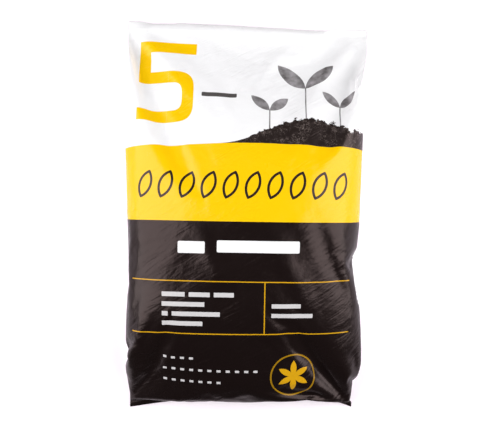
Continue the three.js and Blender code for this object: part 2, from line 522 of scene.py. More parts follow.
    def weigh(self, film: bpy.types.Object) -> None:
        """Writes the fill's push and the pinned weld corners to vertex groups.

        Args:
            film: The film that gets the groups.
        """
        share = self.fill.share(self.across, self.along)
        push = film.vertex_groups.new(name="push")
        for point, value in enumerate(self.both(share, share).ravel()):
            push.add([point], float(value), "REPLACE")
        pinned = film.vertex_groups.new(name="pinned")
        side = np.abs(self.across) / self.across.max(axis=1, keepdims=True)
        hold = smooth_step(self.lie.hold_from, self.lie.hold_full, side)
        hold[self.tube.open_rows()] = 0
        hold[self.tube.flap_rows + self.tube.rows :, 1:-1] = 0
        for point, value in zip(self.front[hold > 0], hold[hold > 0]):
            pinned.add([int(point)], float(value), "REPLACE")

    def settling_floor(self) -> bpy.types.Object:
        """Makes the plain floor that the film meets while it settles.

        Returns:
            The floor.
        """
        floor = flat_square("settling_floor", 2 * self.tube.length)
        floor.modifiers.new("floor", "COLLISION")
        floor.collision.thickness_outer = self.cloth.gap
        floor.collision.cloth_friction = self.cloth.grip
        return floor

    def add_cloth(self, film: bpy.types.Object) -> None:
        """Makes the film a cloth that the fill pushes outwards.

        Args:
            film: The film, with its vertex groups.
        """
        modifier = film.modifiers.new("film", "CLOTH")
        modifier.point_cache.frame_end = self.cloth.frames
        settings = modifier.settings
        settings.vertex_group_mass = "pinned"
        settings.quality = self.cloth.quality
        settings.mass = self.cloth.mass
        settings.tension_stiffness = self.cloth.stretch
        settings.compression_stiffness = self.cloth.stretch
        settings.shear_stiffness = self.cloth.shear
        settings.bending_stiffness = self.cloth.bend
        settings.use_pressure = True
        settings.uniform_pressure_force = self.fill.push
        settings.fluid_density = self.fill.weight
        settings.vertex_group_pressure = "push"
        modifier.collision_settings.distance_min = self.cloth.gap
        modifier.collision_settings.use_self_collision = False

    def sheets_at_rest(self, points: np.ndarray) -> tuple[np.ndarray, np.ndarray]:
        """Creases the front sheet and keeps the two sheets apart, in the flaps as between them.

        Args:
            points: Every point of both sheets, in the points' order.

        Returns:
            The front sheet and the back sheet as grids of points. They still meet at the side
            folds and at the outer ends of the flaps.
        """
        front, back = points[self.front], points[self.back]
        normal = np.cross(np.gradient(front, axis=1), np.gradient(front, axis=0))
        normal /= np.linalg.norm(normal, axis=-1, keepdims=True)
        lift = sum(crease.lift(self.across, self.along) for crease in self.creases)
        front[self.apart] += (normal * lift[..., None])[self.apart]
        welded = ~self.apart
        welded[:, [0, -1]] = False
        welded[[0, -1], :] = False
        front[welded] += normal[welded] * self.flap_gap / 2
        back[welded] -= normal[welded] * self.flap_gap / 2
        highest = lowest_near(front[..., 2])[self.apart] - self.parting
        back[self.apart, 2] = np.minimum(back[self.apart][:, 2], highest)
        return front, back

    def build(self) -> bpy.types.Object:
        """Makes the bag's mesh, with the film's flat places as its map.

        Returns:
            The bag, with one subdivision over the settled film.
        """
        points = self.settle()
        front, back = self.sheets_at_rest(points)
        inner = np.zeros(self.across.shape, dtype=bool)
        inner[1:-1, 1:-1] = True
        back_numbers = self.front.copy()
        back_numbers[inner] = self.across.size + np.arange(inner.sum())
        floor_up = self.cloth.gap * 2
        vertices = np.concatenate([front.reshape(-1, 3), back[inner]])
        vertices[:, 2] -= min(vertices[:, 2].min(), floor_up)
        faces = quads(self.front) + [face[::-1] for face in quads(back_numbers)]
        mesh = bpy.data.meshes.new("bag_film")
        mesh.from_pydata(vertices.tolist(), [], faces)
        flat = np.stack([self.across, self.along], axis=-1)
        flat = np.concatenate([flat.reshape(-1, 2), flat[inner]])
        film_map = mesh.uv_layers.new(name=FILM_MAP)
        corner_points = np.array([corner for face in faces for corner in face])
        film_map.uv.foreach_set("vector", flat[corner_points].astype(np.float32).ravel())
        mesh.polygons.foreach_set("use_smooth", [True] * len(faces))
        sheets = [Sheet.FRONT.value] * (len(faces) // 2) + [Sheet.BACK.value] * (len(faces) // 2)
        mesh.polygons.foreach_set("material_index", sheets)
        mesh.update()
        bag = bpy.data.objects.new("compost_bag", mesh)
        bpy.context.collection.objects.link(bag)
        finer = bag.modifiers.new("finer", "SUBSURF")
        finer.levels = finer.render_levels = 1
        return bag

    def dress(self, bag: bpy.types.Object, front: "PrintedFilm", back: "PlainFilm") -> None:
        """Puts the printed finish on the front sheet and the plain one on the back."""
        bag.data.materials.append(front.build())
        bag.data.materials.append(back.build())


def lowest_near(heights: np.ndarray) -> np.ndarray:
    """Gives the lowest height among each point of a grid and the points beside it."""
    windows = np.lib.stride_tricks.sliding_window_view(np.pad(heights, 1, mode="edge"), (3, 3))
    return windows.min(axis=(-2, -1))


def quads(numbers: np.ndarray) -> list[list[int]]:
    """Gives the faces of a grid of point numbers, seen from above with across to the right."""
    corners = [numbers[:-1, :-1], numbers[:-1, 1:], numbers[1:, 1:], numbers[1:, :-1]]
    return np.stack(corners, axis=-1).reshape(-1, 4).tolist()


class Wiring:
    """Adds nodes to one node tree and joins them.

    Attributes:
        SPACING: Distance between two nodes in the editor.
    """

    SPACING = 180

    def __init__(self, tree: bpy.types.NodeTree) -> None:
        """Takes the tree that the nodes go into."""
        self.tree = tree

    def add(self, kind: str, **settings: object) -> bpy.types.Node:
        """Adds a node and sets its own settings.

        Args:
            kind: The node's type, without its ShaderNode prefix.
            **settings: Properties of the node itself.

        Returns:
            The node.
        """
        node = self.tree.nodes.new(f"ShaderNode{kind}")
        node.location = (self.SPACING * len(self.tree.nodes), 0)
        for name, value in settings.items():
            setattr(node, name, value)
        return node

    def feed(self, socket: Socket, value: object) -> None:
        """Fills an input socket.

        Args:
            socket: The input.
            value: A number, a vector or a colour, or another socket to join it to.
        """
        if isinstance(value, bpy.types.NodeSocket):
            self.tree.links.new(value, socket)
        else:
            socket.default_value = value

    def math(self, operation: str, *values: Value, clamp: bool = False) -> Socket:
        """Adds one step of arithmetic.

        Args:
            operation: The name of the Math node's operation.
            *values: Its inputs, in order.
            clamp: Whether the result is held between 0 and 1.

        Returns:
            The result.
        """
        node = self.add("Math", operation=operation, use_clamp=clamp)
        for socket, value in zip(node.inputs, values):
            self.feed(socket, value)
        return node.outputs[0]

    def smooth_range(
        self,
        value: Value,
        source: tuple[Value, Value],
        target: tuple[Value, Value] = (0.0, 1.0),
        curve: str = "SMOOTHSTEP",
    ) -> Socket:
        """Maps one range of a value smoothly to another and holds it at both ends.

        Args:
            value: The value.
            source: Where its range starts and ends.
            target: What it is there.
            curve: The name of the Map Range node's curve.

        Returns:
            The value in its new range.
        """
        node = self.add("MapRange", interpolation_type=curve)
        self.feed(node.inputs["Value"], value)
        for name, level in zip(("From Min", "From Max", "To Min", "To Max"), (*source, *target)):
            self.feed(node.inputs[name], level)
        return node.outputs[0]

    def across_along(self, place: Socket) -> tuple[Socket, Socket]:
        """Parts a place on the flat film.

        Args:
            place: The place.

        Returns:
            Its distances from the middle line and from the foot weld.
        """
        parts = self.add("SeparateXYZ")
        self.feed(parts.inputs[0], place)
        return parts.outputs[0], parts.outputs[1]

    def largest(self, values: Sequence[Socket]) -> Socket:
        """Joins several masks into one.

        Args:
            values: The masks.

        Returns:
            The largest of them at each place.
        """
        result = values[0]
        for value in values[1:]:
            result = self.math("MAXIMUM", result, value)
        return result

    def group(self, tree: bpy.types.NodeTree, **inputs: object) -> bpy.types.Node:
        """Places a node group and fills its inputs.

        Args:
            tree: The group.
            **inputs: A value for each input, named with _ for each space.

        Returns:
            The group's node.
        """
        node = self.add("Group", node_tree=tree)
        for name, value in inputs.items():
            self.feed(node.inputs[name.replace("_", " ")], value)
        return node

    def ink(self, mask: Value, under: object, over: object) -> Socket:
        """Lays one colour over another where the mask is 1.

        Args:
            mask: Where the upper colour lies.
            under: The lower colour.
            over: The upper colour.

        Returns:
            The two colours together.
        """
        node = self.add("Mix", data_type="RGBA")
        self.feed(node.inputs[0], mask)
        for socket, colour in ((node.inputs[6], under), (node.inputs[7], over)):
            self.feed(socket, (*colour.value, 1.0) if isinstance(colour, Ink) else colour)
        return node.outputs[2]

    def noise(self, place: Socket, pitch: float, detail: float = 2.0, **inputs: float) -> Socket:
        """Adds a noise of a given pitch in the units of the place.

        Args:
            place: Where the noise is read.
            pitch: The size of its largest waves.
            detail: How many finer octaves it has.
            **inputs: Further inputs of the Noise node.

        Returns:
            A value from about 0.25 to 0.75.
        """
        node = self.add("TexNoise")
        self.feed(node.inputs["Vector"], place)
        node.inputs["Scale"].default_value = 1 / pitch
        node.inputs["Detail"].default_value = detail
        for name, value in inputs.items():
            node.inputs[name].default_value = value
        return node.outputs["Fac"]


@dataclass(frozen=True)
class Cloud:
    """Soft patches that vary over the film, from 0 to 1.

    Attributes:
        pitch: Size of the largest patches, in millimetres.
        contrast: How sharply they stand out.
        base: What is added to them: the lower it is, the fewer they are.
        detail: How many finer octaves they have.
        roughness: How strong those octaves are.
        warp: How far the patches are warped.
    """

    pitch: float
    contrast: float
    base: float
    detail: float = 3.0
    roughness: float = 0.5
    warp: float = 0.0

    def mask(self, wiring: Wiring, place: Socket) -> Socket:
        """Wires the patches.

        Args:
            wiring: The wiring of the material.
            place: The place on the flat film, in millimetres.

        Returns:
            A value from 0 to 1 at each place.
        """
        further = {"Roughness": self.roughness, "Distortion": self.warp}
        noise = wiring.noise(place, self.pitch, self.detail, **further)
        return wiring.math("MULTIPLY_ADD", noise, self.contrast, self.base, clamp=True)


class EffectGroup:
    """A node group with named inputs and outputs, built once.

    Attributes:
        name: Its name.
        inputs: The name, the kind and the usual value of each input.
        outputs: The name of each output.
    """

    name = "effect"
    inputs: tuple[tuple[str, str, float], ...] = ()
    outputs: tuple[str, ...] = ("Mask",)

    def tree(self) -> bpy.types.NodeTree:
        """Gives the group, building it on first use."""
        known = bpy.data.node_groups.get(self.name)
        return known if known else self.build()

    def build(self) -> bpy.types.NodeTree:
        """Makes the group's sockets and fills it.

        Returns:
            The new group.
        """
        tree = bpy.data.node_groups.new(self.name, "ShaderNodeTree")
        for name, kind, value in self.inputs:
            socket = tree.interface.new_socket(name, in_out="INPUT", socket_type=f"NodeSocket{kind}")
            if kind == "Float":
                socket.default_value = value
        for name in self.outputs:
            tree.interface.new_socket(name, in_out="OUTPUT", socket_type="NodeSocketFloat")
        wiring = Wiring(tree)
        given = tree.nodes.new("NodeGroupInput")
        result = tree.nodes.new("NodeGroupOutput")
        for name, value in self.fill(wiring, given.outputs).items():
            wiring.feed(result.inputs[name], value)
        return tree

    def fill(self, wiring: Wiring, given: bpy.types.NodeOutputs) -> dict[str, Value]:
        """Wires the effect itself.

        Args:
            wiring: The group's wiring.
            given: The group's inputs.

        Returns:
            The value of each output by name.
        """
        raise NotImplementedError


class TurnedPlace(EffectGroup):
    """Moves the origin of the flat film to a shape's middle and turns it with the shape."""

    name = "turned_place"
    inputs = (("Place", "Vector", 0), ("Across", "Float", 0), ("Along", "Float", 0), ("Turn", "Float", 0))
    outputs = ("X", "Y")

    def fill(self, wiring: Wiring, given: bpy.types.NodeOutputs) -> dict[str, Value]:
        """Wires the move and the turn.

        Args:
            wiring: The group's wiring.
            given: The group's inputs.

        Returns:
            The place in the shape's own frame.
        """
        across, along = wiring.across_along(given["Place"])
        x = wiring.math("SUBTRACT", across, given["Across"])
        y = wiring.math("SUBTRACT", along, given["Along"])
        sine = wiring.math("SINE", given["Turn"])
        cosine = wiring.math("COSINE", given["Turn"])
        turned_x = wiring.math("MULTIPLY_ADD", x, cosine, wiring.math("MULTIPLY", y, sine))
        back = wiring.math("MULTIPLY", x, sine)
        turned_y = wiring.math("SUBTRACT", wiring.math("MULTIPLY", y, cosine), back)
        return {"X": turned_x, "Y": turned_y}


class InkEdge(EffectGroup):
    """Turns a distance from an outline into a mask with the slightly soft edge of printed ink.

    Attributes:
        softness: Width of that edge, in millimetres.
    """

    name = "ink_edge"
    inputs = (("Distance", "Float", 0),)
    softness = 0.12

    def fill(self, wiring: Wiring, given: bpy.types.NodeOutputs) -> dict[str, Value]:
        """Wires the soft edge."""
        inside = wiring.math("DIVIDE", given["Distance"], -self.softness)
        return {"Mask": wiring.math("ADD", inside, 0.5, clamp=True)}


def edge_mask(wiring: Wiring, distance: Socket) -> Socket:
    """Gives the ink mask of a distance that is negative inside the shape."""
    return wiring.group(InkEdge().tree(), Distance=distance).outputs["Mask"]


class BarShape(EffectGroup):
    """A bar with rounded corners."""

    name = "bar_shape"
    inputs = (
        ("X", "Float", 0),
        ("Y", "Float", 0),
        ("Width", "Float", 10),
        ("Height", "Float", 1),
        ("Rounding", "Float", 0.3),
    )

    def fill(self, wiring: Wiring, given: bpy.types.NodeOutputs) -> dict[str, Value]:
        """Wires the distance from the bar's outline.

        Args:
            wiring: The group's wiring.
            given: The group's inputs.

        Returns:
            The mask of the bar.
        """
        beyond = []
        for place, size in ((given["X"], given["Width"]), (given["Y"], given["Height"])):
            half = wiring.math("DIVIDE", size, 2)
            core = wiring.math("SUBTRACT", half, given["Rounding"])
            beyond.append(wiring.math("SUBTRACT", wiring.math("ABSOLUTE", place), core))
        outside = [wiring.math("MAXIMUM", value, 0) for value in beyond]
        squares = [wiring.math("MULTIPLY", value, value) for value in outside]
        far = wiring.math("SQRT", wiring.math("ADD", *squares))
        near = wiring.math("MINIMUM", wiring.math("MAXIMUM", *beyond), 0)
        distance = wiring.math("SUBTRACT", wiring.math("ADD", far, near), given["Rounding"])
        return {"Mask": edge_mask(wiring, distance)}


class RingShape(EffectGroup):
    """A ring, or the half of it to the right of its middle. A higher power makes it squarer."""

    name = "ring_shape"
    inputs = (
        ("X", "Float", 0),
        ("Y", "Float", 0),
        ("Radius", "Float", 10),
        ("Stroke", "Float", 1),
        ("Half", "Float", 0),
        ("Power", "Float", 2),
    )

    def fill(self, wiring: Wiring, given: bpy.types.NodeOutputs) -> dict[str, Value]:
        """Wires the distance from the ring's middle line, cut off to the left for a half ring.

        Args:
            wiring: The group's wiring.
            given: The group's inputs.

        Returns:
            The mask of the ring.
        """
        sides = [wiring.math("ABSOLUTE", given[name]) for name in ("X", "Y")]
        powers = [wiring.math("POWER", side, given["Power"]) for side in sides]
        away = wiring.math("POWER", wiring.math("ADD", *powers), wiring.math("DIVIDE", 1, given["Power"]))
        off = wiring.math("ABSOLUTE", wiring.math("SUBTRACT", away, given["Radius"]))
        stroke = wiring.math("SUBTRACT", off, wiring.math("DIVIDE", given["Stroke"], 2))
        cut = wiring.math("MULTIPLY", wiring.math("MULTIPLY", given["X"], -1), given["Half"])
        return {"Mask": edge_mask(wiring, wiring.math("MAXIMUM", stroke, cut))}


class LeafShape(EffectGroup):
    """A leaf with two pointed ends, filled or drawn as an outline of a given stroke."""

    name = "leaf_shape"
    inputs = (
        ("X", "Float", 0),
        ("Y", "Float", 0),
        ("Length", "Float", 20),
        ("Width", "Float", 8),
        ("Stroke", "Float", 0),
    )

    def fill(self, wiring: Wiring, given: bpy.types.NodeOutputs) -> dict[str, Value]:
        """Wires the overlap of two discs, whose outlines cross at the leaf's ends.

        Args:
            wiring: The group's wiring.
            given: The group's inputs.

        Returns:
            The mask of the leaf, or of its outline where the stroke is more than 0.
        """
        half = wiring.math("DIVIDE", given["Length"], 2)
        thick = wiring.math("DIVIDE", given["Width"], 2)
        squares = wiring.math("ADD", wiring.math("POWER", half, 2), wiring.math("POWER", thick, 2))
        radius = wiring.math("DIVIDE", squares, given["Width"])
        offset = wiring.math("SUBTRACT", radius, thick)
        reach = wiring.math("ADD", wiring.math("ABSOLUTE", given["X"]), offset)
        along = wiring.math("POWER", wiring.math("ABSOLUTE", given["Y"]), 2)
        away = wiring.math("SQRT", wiring.math("ADD", wiring.math("POWER", reach, 2), along))
        distance = wiring.math("SUBTRACT", away, radius)
        line = wiring.math("SUBTRACT", wiring.math("ABSOLUTE", distance), given["Stroke"])
        drawn = wiring.math("GREATER_THAN", given["Stroke"], 0)
        outline = wiring.math("MULTIPLY", edge_mask(wiring, line), drawn)
        filled = wiring.math("SUBTRACT", 1, drawn)
        solid = wiring.math("MULTIPLY", edge_mask(wiring, distance), filled)
        return {"Mask": wiring.math("ADD", outline, solid)}


class FilmRelief(EffectGroup):
    """The fine relief of the film: compost lumps, stretched creases and the two welds.

    Attributes:
        lump_pitch: Size of the largest lumps, in millimetres.
        crease_pitch: Distance between two creases, in millimetres.
        crease_slant: How far the creases lean, in degrees.
        crease_stretch: How much longer than wide they are.
        crease_warp: How far they wander.
        patch_pitch: Size of the patches of film that are creased, in millimetres.
        patch_range: Values of the noise between which the creases come up in them.
        weld_edge: Distances from a weld's middle between which its pressed strip comes up.
        weld_depth: How deep that strip is pressed, in millimetres.
        haze_pitch: Size of the patches of duller film, in millimetres.
    """

    name = "film_relief"
    inputs = (
        ("Place", "Vector", 0),
        ("Lumps", "Float", 0.1),
        ("Creases", "Float", 0.05),
        ("Length", "Float", 420),
    )
    outputs = ("Height", "Haze")
    lump_pitch = 16.0
    crease_pitch = 7.5
    crease_slant = 32.0
    crease_stretch = 5.0
    crease_warp = 1.6
    patch_pitch = 60.0
    patch_range = (0.38, 0.58)
    weld_edge = (2.2, 1.2)
    weld_depth = 0.25
    haze_pitch = 45.0

    def fill(self, wiring: Wiring, given: bpy.types.NodeOutputs) -> dict[str, Value]:
        """Wires the lumps, the creases and the welds, all in millimetres of height.

        Args:
            wiring: The group's wiring.
            given: The group's inputs.

        Returns:
            The height of the relief, and the haze that makes the film duller.
        """
        place = given["Place"]
        coarse = wiring.noise(place, self.lump_pitch, detail=3.0)
        lumps = wiring.math("MULTIPLY", coarse, given["Lumps"])
        ridges = wiring.math("MULTIPLY", self.creases(wiring, place), given["Creases"])
        patches = wiring.noise(place, self.patch_pitch, detail=1.0)
        ridges = wiring.math("MULTIPLY", ridges, wiring.smooth_range(patches, self.patch_range))
        _, along = wiring.across_along(place)
        past_head = wiring.math("SUBTRACT", along, given["Length"])
        ends = [wiring.math("ABSOLUTE", distance) for distance in (along, past_head)]
        weld = wiring.smooth_range(wiring.math("MINIMUM", *ends), self.weld_edge)
        pressed = wiring.math("MULTIPLY", weld, -self.weld_depth)
        height = wiring.math("ADD", wiring.math("ADD", lumps, ridges), pressed)
        return {"Height": height, "Haze": wiring.noise(place, self.haze_pitch, detail=4.0)}

    def creases(self, wiring: Wiring, place: Socket) -> Socket:
        """Wires a noise that is stretched along the slant of the creases.

        Args:
            wiring: The group's wiring.
            place: The place on the flat film.

        Returns:
            A value from about 0.25 to 0.75.
        """
        slanted = wiring.add("Mapping", vector_type="TEXTURE")
        wiring.feed(slanted.inputs["Vector"], place)
        slanted.inputs["Rotation"].default_value = (0, 0, math.radians(self.crease_slant))
        slanted.inputs["Scale"].default_value = (self.crease_stretch, 1, 1)
        return wiring.noise(slanted.outputs[0], self.crease_pitch, detail=4.0, Distortion=self.crease_warp)


@dataclass(frozen=True)
class Bar:
    """A plain bar of ink, in millimetres on the flat film.

    Attributes:
        across: Its middle across the film.
        along: Its middle along the film.
        width: Its width.
        height: Its height.
        turn: How far it is turned to the left, in radians.
        rounding: Radius of its corners.
    """

    across: float
    along: float
    width: float
    height: float
    turn: float = 0.0
    rounding: float = 0.4

    def mask(self, wiring: Wiring, place: Socket) -> Socket:
        """Wires the mask of the bar.

        Args:
            wiring: The wiring of the material.
            place: The place on the flat film, in millimetres.

        Returns:
            1 on the bar and 0 beside it.
        """
        at = wiring.group(
            TurnedPlace().tree(), Place=place, Across=self.across, Along=self.along, Turn=self.turn
        )
        sizes = {"Width": self.width, "Height": self.height, "Rounding": self.rounding}
        shape = wiring.group(BarShape().tree(), X=at.outputs["X"], Y=at.outputs["Y"], **sizes)
        return shape.outputs["Mask"]


@dataclass(frozen=True)
class Ring:
    """A ring of ink, or only its right half, in millimetres on the flat film.

    Attributes:
        across: Its middle across the film.
        along: Its middle along the film.
        radius: Radius of its middle line.
        stroke: Width of its stroke.
        half: Whether only its right half is drawn.
        power: 2 for a round ring, more for a squarer one.
    """

    across: float
    along: float
    radius: float
    stroke: float
    half: bool = False
    power: float = 2.0

    def mask(self, wiring: Wiring, place: Socket) -> Socket:
        """Wires the mask of the ring.

        Args:
            wiring: The wiring of the material.
            place: The place on the flat film, in millimetres.

        Returns:
            1 on the ring and 0 beside it.
        """
        at = wiring.group(TurnedPlace().tree(), Place=place, Across=self.across, Along=self.along)
        sizes = {"Radius": self.radius, "Stroke": self.stroke}
        sizes |= {"Half": float(self.half), "Power": self.power}
        shape = wiring.group(RingShape().tree(), X=at.outputs["X"], Y=at.outputs["Y"], **sizes)
        return shape.outputs["Mask"]


@dataclass(frozen=True)
class Leaf:
    """A pointed leaf of ink, filled or as an outline, in millimetres on the flat film.

    Attributes:
        across: Its middle across the film.
        along: Its middle along the film.
        length: From tip to tip.
        width: Its greatest width.
        turn: How far it is turned to the left, in radians.
        stroke: Half the width of its outline, or 0 for a filled leaf.
    """

    across: float
    along: float
    length: float
    width: float
    turn: float = 0.0
    stroke: float = 0.0

    @classmethod
    def from_foot(cls, foot: tuple[float, float], length: float, width: float, lean: float) -> "Leaf":
        """Places a filled leaf by its lower tip.

        Args:
            foot: Where that tip lies, across and along the film.
            length: From tip to tip.
            width: Its greatest width.
            lean: How far it leans to the right, in radians.

        Returns:
            The leaf.
        """
        half = length / 2
        middle = (foot[0] + half * math.sin(lean), foot[1] + half * math.cos(lean))
        return cls(*middle, length, width, -lean)

    def mask(self, wiring: Wiring, place: Socket) -> Socket:
        """Wires the mask of the leaf.

        Args:
            wiring: The wiring of the material.
            place: The place on the flat film, in millimetres.

        Returns:
            1 on the leaf's ink and 0 beside it.
        """
        at = wiring.group(
            TurnedPlace().tree(), Place=place, Across=self.across, Along=self.along, Turn=self.turn
        )
        sizes = {"Length": self.length, "Width": self.width, "Stroke": self.stroke}
        shape = wiring.group(LeafShape().tree(), X=at.outputs["X"], Y=at.outputs["Y"], **sizes)
        return shape.outputs["Mask"]


@dataclass(frozen=True)
class BarLines:
    """Lines of plain bars or dashes, in millimetres on the flat film.

    Attributes:
        left: Where each line starts, across the film.
        top: The middle of the first line, along the film.
        pitch: From line to line.
        height: Height of a bar.
        gap: Between two bars of a line.
        lines: The widths of the bars in each line.
    """

    left: float
    top: float
    pitch: float
    height: float
    gap: float
    lines: tuple[tuple[float, ...], ...]

    def bars(self) -> Iterator[Bar]:
        """Gives every bar of the lines, one after the other.

        Yields:
            A bar.
        """
        for row, widths in enumerate(self.lines):
            start = self.left
            for width in widths:
                middle = start + width / 2
                yield Bar(middle, self.top - row * self.pitch, width, self.height)
                start += width + self.gap


@dataclass(frozen=True)
class PlainFive:
    """A plain figure 5 made of bars and a half ring, in millimetres on the flat film.

    Attributes:
        left: Its left edge.
        bottom: Its lower edge.
        width: Its width.
        height: Its height.
        stroke: Width of its strokes.
        bowl: Height of its bowl.
        squareness: Power of the half ring that ends the bowl.
    """

    left: float = -116.0
    bottom: float = 310.0
    width: float = 61.5
    height: float = 92.0
    stroke: float = 12.8
    bowl: float = 57.0
    squareness: float = 3.6

    def shapes(self) -> Iterator[Bar | Ring]:
        """Gives the strokes of the figure.

        Yields:
            A bar or the half ring.
        """
        radius = (self.bowl - self.stroke) / 2
        turn_in = self.left + self.width - self.bowl / 2
        right = self.left + self.width
        top = self.bottom + self.height
        half = self.stroke / 2
        middle = self.bottom + self.bowl / 2
        yield Ring(turn_in, middle, radius, self.stroke, half=True, power=self.squareness)
        for level in (self.bottom + half, self.bottom + self.bowl - half):
            yield Bar((self.left + turn_in) / 2, level, turn_in - self.left, self.stroke)
        yield Bar((self.left + right) / 2, top - half, self.width, self.stroke)
        stem = top - (self.bottom + self.bowl - self.stroke)
        yield Bar(self.left + half, top - stem / 2, self.stroke, stem)


@dataclass(frozen=True)
class SproutRow:
    """A row of plain two-leaved sprouts on the heap, in millimetres on the flat film.

    Attributes:
        sprouts: Place across, foot, height of the stem and length of the leaves of each.
        stem: Width of a stem.
        lean: How far the leaves lean out, in radians.
        shape: Width of a leaf as a share of its length.
        overlap: How far the leaves' tips reach down the stem.
    """

    sprouts: tuple[tuple[float, float, float, float], ...] = (
        (25.0, 298.0, 27.0, 26.0),
        (63.0, 310.0, 46.0, 40.0),
        (100.0, 308.0, 25.0, 25.0),
    )
    stem: float = 1.3
    lean: float = 0.85
    shape: float = 0.4
    overlap: float = 1.0

    def shapes(self) -> Iterator[Bar | Leaf]:
        """Gives the stem and the pair of leaves of each sprout.

        Yields:
            A stem or a leaf.
        """
        for across, foot, height, leaf in self.sprouts:
            yield Bar(across, foot + height / 2, self.stem, height)
            for lean in (-self.lean, self.lean):
                yield Leaf.from_foot((across, foot + height - self.overlap), leaf, leaf * self.shape, lean)


@dataclass(frozen=True)
class SoilHeap:
    """The crumbly heap behind the yellow band, in millimetres on the flat film.

    Attributes:
        left: Where the heap starts to rise.
        crest: Where it is highest.
        shoulder: Where it starts to fall again.
        right: Where it has fallen.
        height: How high it rises over the band.
        drop: How far it falls to the right.
        raggedness: How far its edge rises and falls with the crumbs.
        crumb_middle: The middle of those crumbs' values.
        crumb_pitch: Size of the crumbs along that edge.
        crumb_roughness: How strong their finer crumbs are.
        fibres: The light fibres and crumbs on the heap.
        patches: Where they show.
    """

    left: float = -30.0
    crest: float = 72.0
    shoulder: float = 90.0
    right: float = 114.0
    height: float = 31.0
    drop: float = 12.0
    raggedness: float = 22.0
    crumb_middle: float = 0.55
    crumb_pitch: float = 9.0
    crumb_roughness: float = 0.75
    fibres: Cloud = Cloud(2.6, 8.0, -4.0, detail=4.0, roughness=0.7, warp=1.5)
    patches: Cloud = Cloud(13.0, 5.0, -2.1, detail=2.0)

    def rise(self, wiring: Wiring, place: Socket) -> Socket:
        """Wires how high the heap rises over the band.

        Args:
            wiring: The wiring of the material.
            place: The place on the flat film, in millimetres.

        Returns:
            The height of its ragged edge at each place across the film.
        """
        across, _ = wiring.across_along(place)
        rise = wiring.smooth_range(across, (self.left, self.crest), curve="SMOOTHERSTEP")
        fall = wiring.smooth_range(across, (self.shoulder, self.right), (0.0, self.drop))
        crumbs = wiring.noise(place, self.crumb_pitch, detail=5.0, Roughness=self.crumb_roughness)
        lowest = self.height - self.raggedness * self.crumb_middle
        ragged = wiring.math("MULTIPLY_ADD", crumbs, self.raggedness, lowest)
        return wiring.math("SUBTRACT", wiring.math("MULTIPLY", rise, ragged), fall)

    def colour(self, wiring: Wiring, place: Socket) -> Socket:
        """Wires the heap's colour: dark compost with lighter crumbs and fibres in patches.

        Args:
            wiring: The wiring of the material.
            place: The place on the flat film, in millimetres.

        Returns:
            The colour at each place.
        """
        fibres = self.fibres.mask(wiring, place)
        patches = self.patches.mask(wiring, place)
        return wiring.ink(wiring.math("MULTIPLY", fibres, patches), Ink.SOIL, Ink.CRUMB)


@dataclass(frozen=True)
class GrainRow:
    """The row of slanting grains on the yellow band, in millimetres on the flat film.

    Attributes:
        count: How many there are.
        first: Middle of the first one, across the film.
        pitch: From grain to grain.
        along: Their middle, along the film.
        length: Length of a grain.
        width: Its width.
        turn: How far it is turned to the left, in radians.
        stroke: Half the width of its outline.
    """

    count: int = 10
    first: float = -102.0
    pitch: float = 22.3
    along: float = 243.5
    length: float = 27.0
    width: float = 12.6
    turn: float = -0.35
    stroke: float = 1.3

    def shapes(self) -> Iterator[Leaf]:
        """Gives the grains as outlines of leaves.

        Yields:
            A grain.
        """
        for step in range(self.count):
            across = self.first + step * self.pitch
            yield Leaf(across, self.along, self.length, self.width, self.turn, self.stroke)


@dataclass(frozen=True)
class RuleFrame:
    """Two thin rules across the foot and an upright one between them, in millimetres.

    Attributes:
        low: Where the lower rule lies.
        high: Where the upper one lies.
        left: Where both start.
        right: Where both end.
        divider: Where the upright one stands.
        stroke: Width of a rule.
    """

    low: float = 92.7
    high: float = 146.6
    left: float = -116.0
    right: float = 113.0
    divider: float = 22.9
    stroke: float = 1.05

    def shapes(self) -> Iterator[Bar]:
        """Gives the rules as bars.

        Yields:
            A rule.
        """
        for level in (self.low, self.high):
            yield Bar((self.left + self.right) / 2, level, self.right - self.left, self.stroke)
        height = self.high - self.low
        yield Bar(self.divider, self.low + height / 2, self.stroke, height)


@dataclass(frozen=True)
class Badge:
    """The round badge: a ring with a rosette of leaves, in millimetres on the flat film.

    Attributes:
        across: Its middle across the film.
        along: Its middle along the film.
        radius: Radius of the ring.
        stroke: Width of the ring.
        leaves: How many leaves the rosette has.
        leaf_share: Length of a leaf as a share of the radius.
        leaf_width: Its greatest width.
    """

    across: float = 54.2
    along: float = 45.6
    radius: float = 23.6
    stroke: float = 1.6
    leaves: int = 6
    leaf_share: float = 0.74
    leaf_width: float = 6.4

    def shapes(self) -> Iterator[Ring | Leaf]:
        """Gives the ring and the leaves of the rosette.

        Yields:
            The ring or a leaf.
        """
        yield Ring(self.across, self.along, self.radius, self.stroke)
        length = self.radius * self.leaf_share
        for step in range(self.leaves):
            lean = 2 * math.pi * step / self.leaves
            yield Leaf.from_foot((self.across, self.along), length, self.leaf_width, lean)


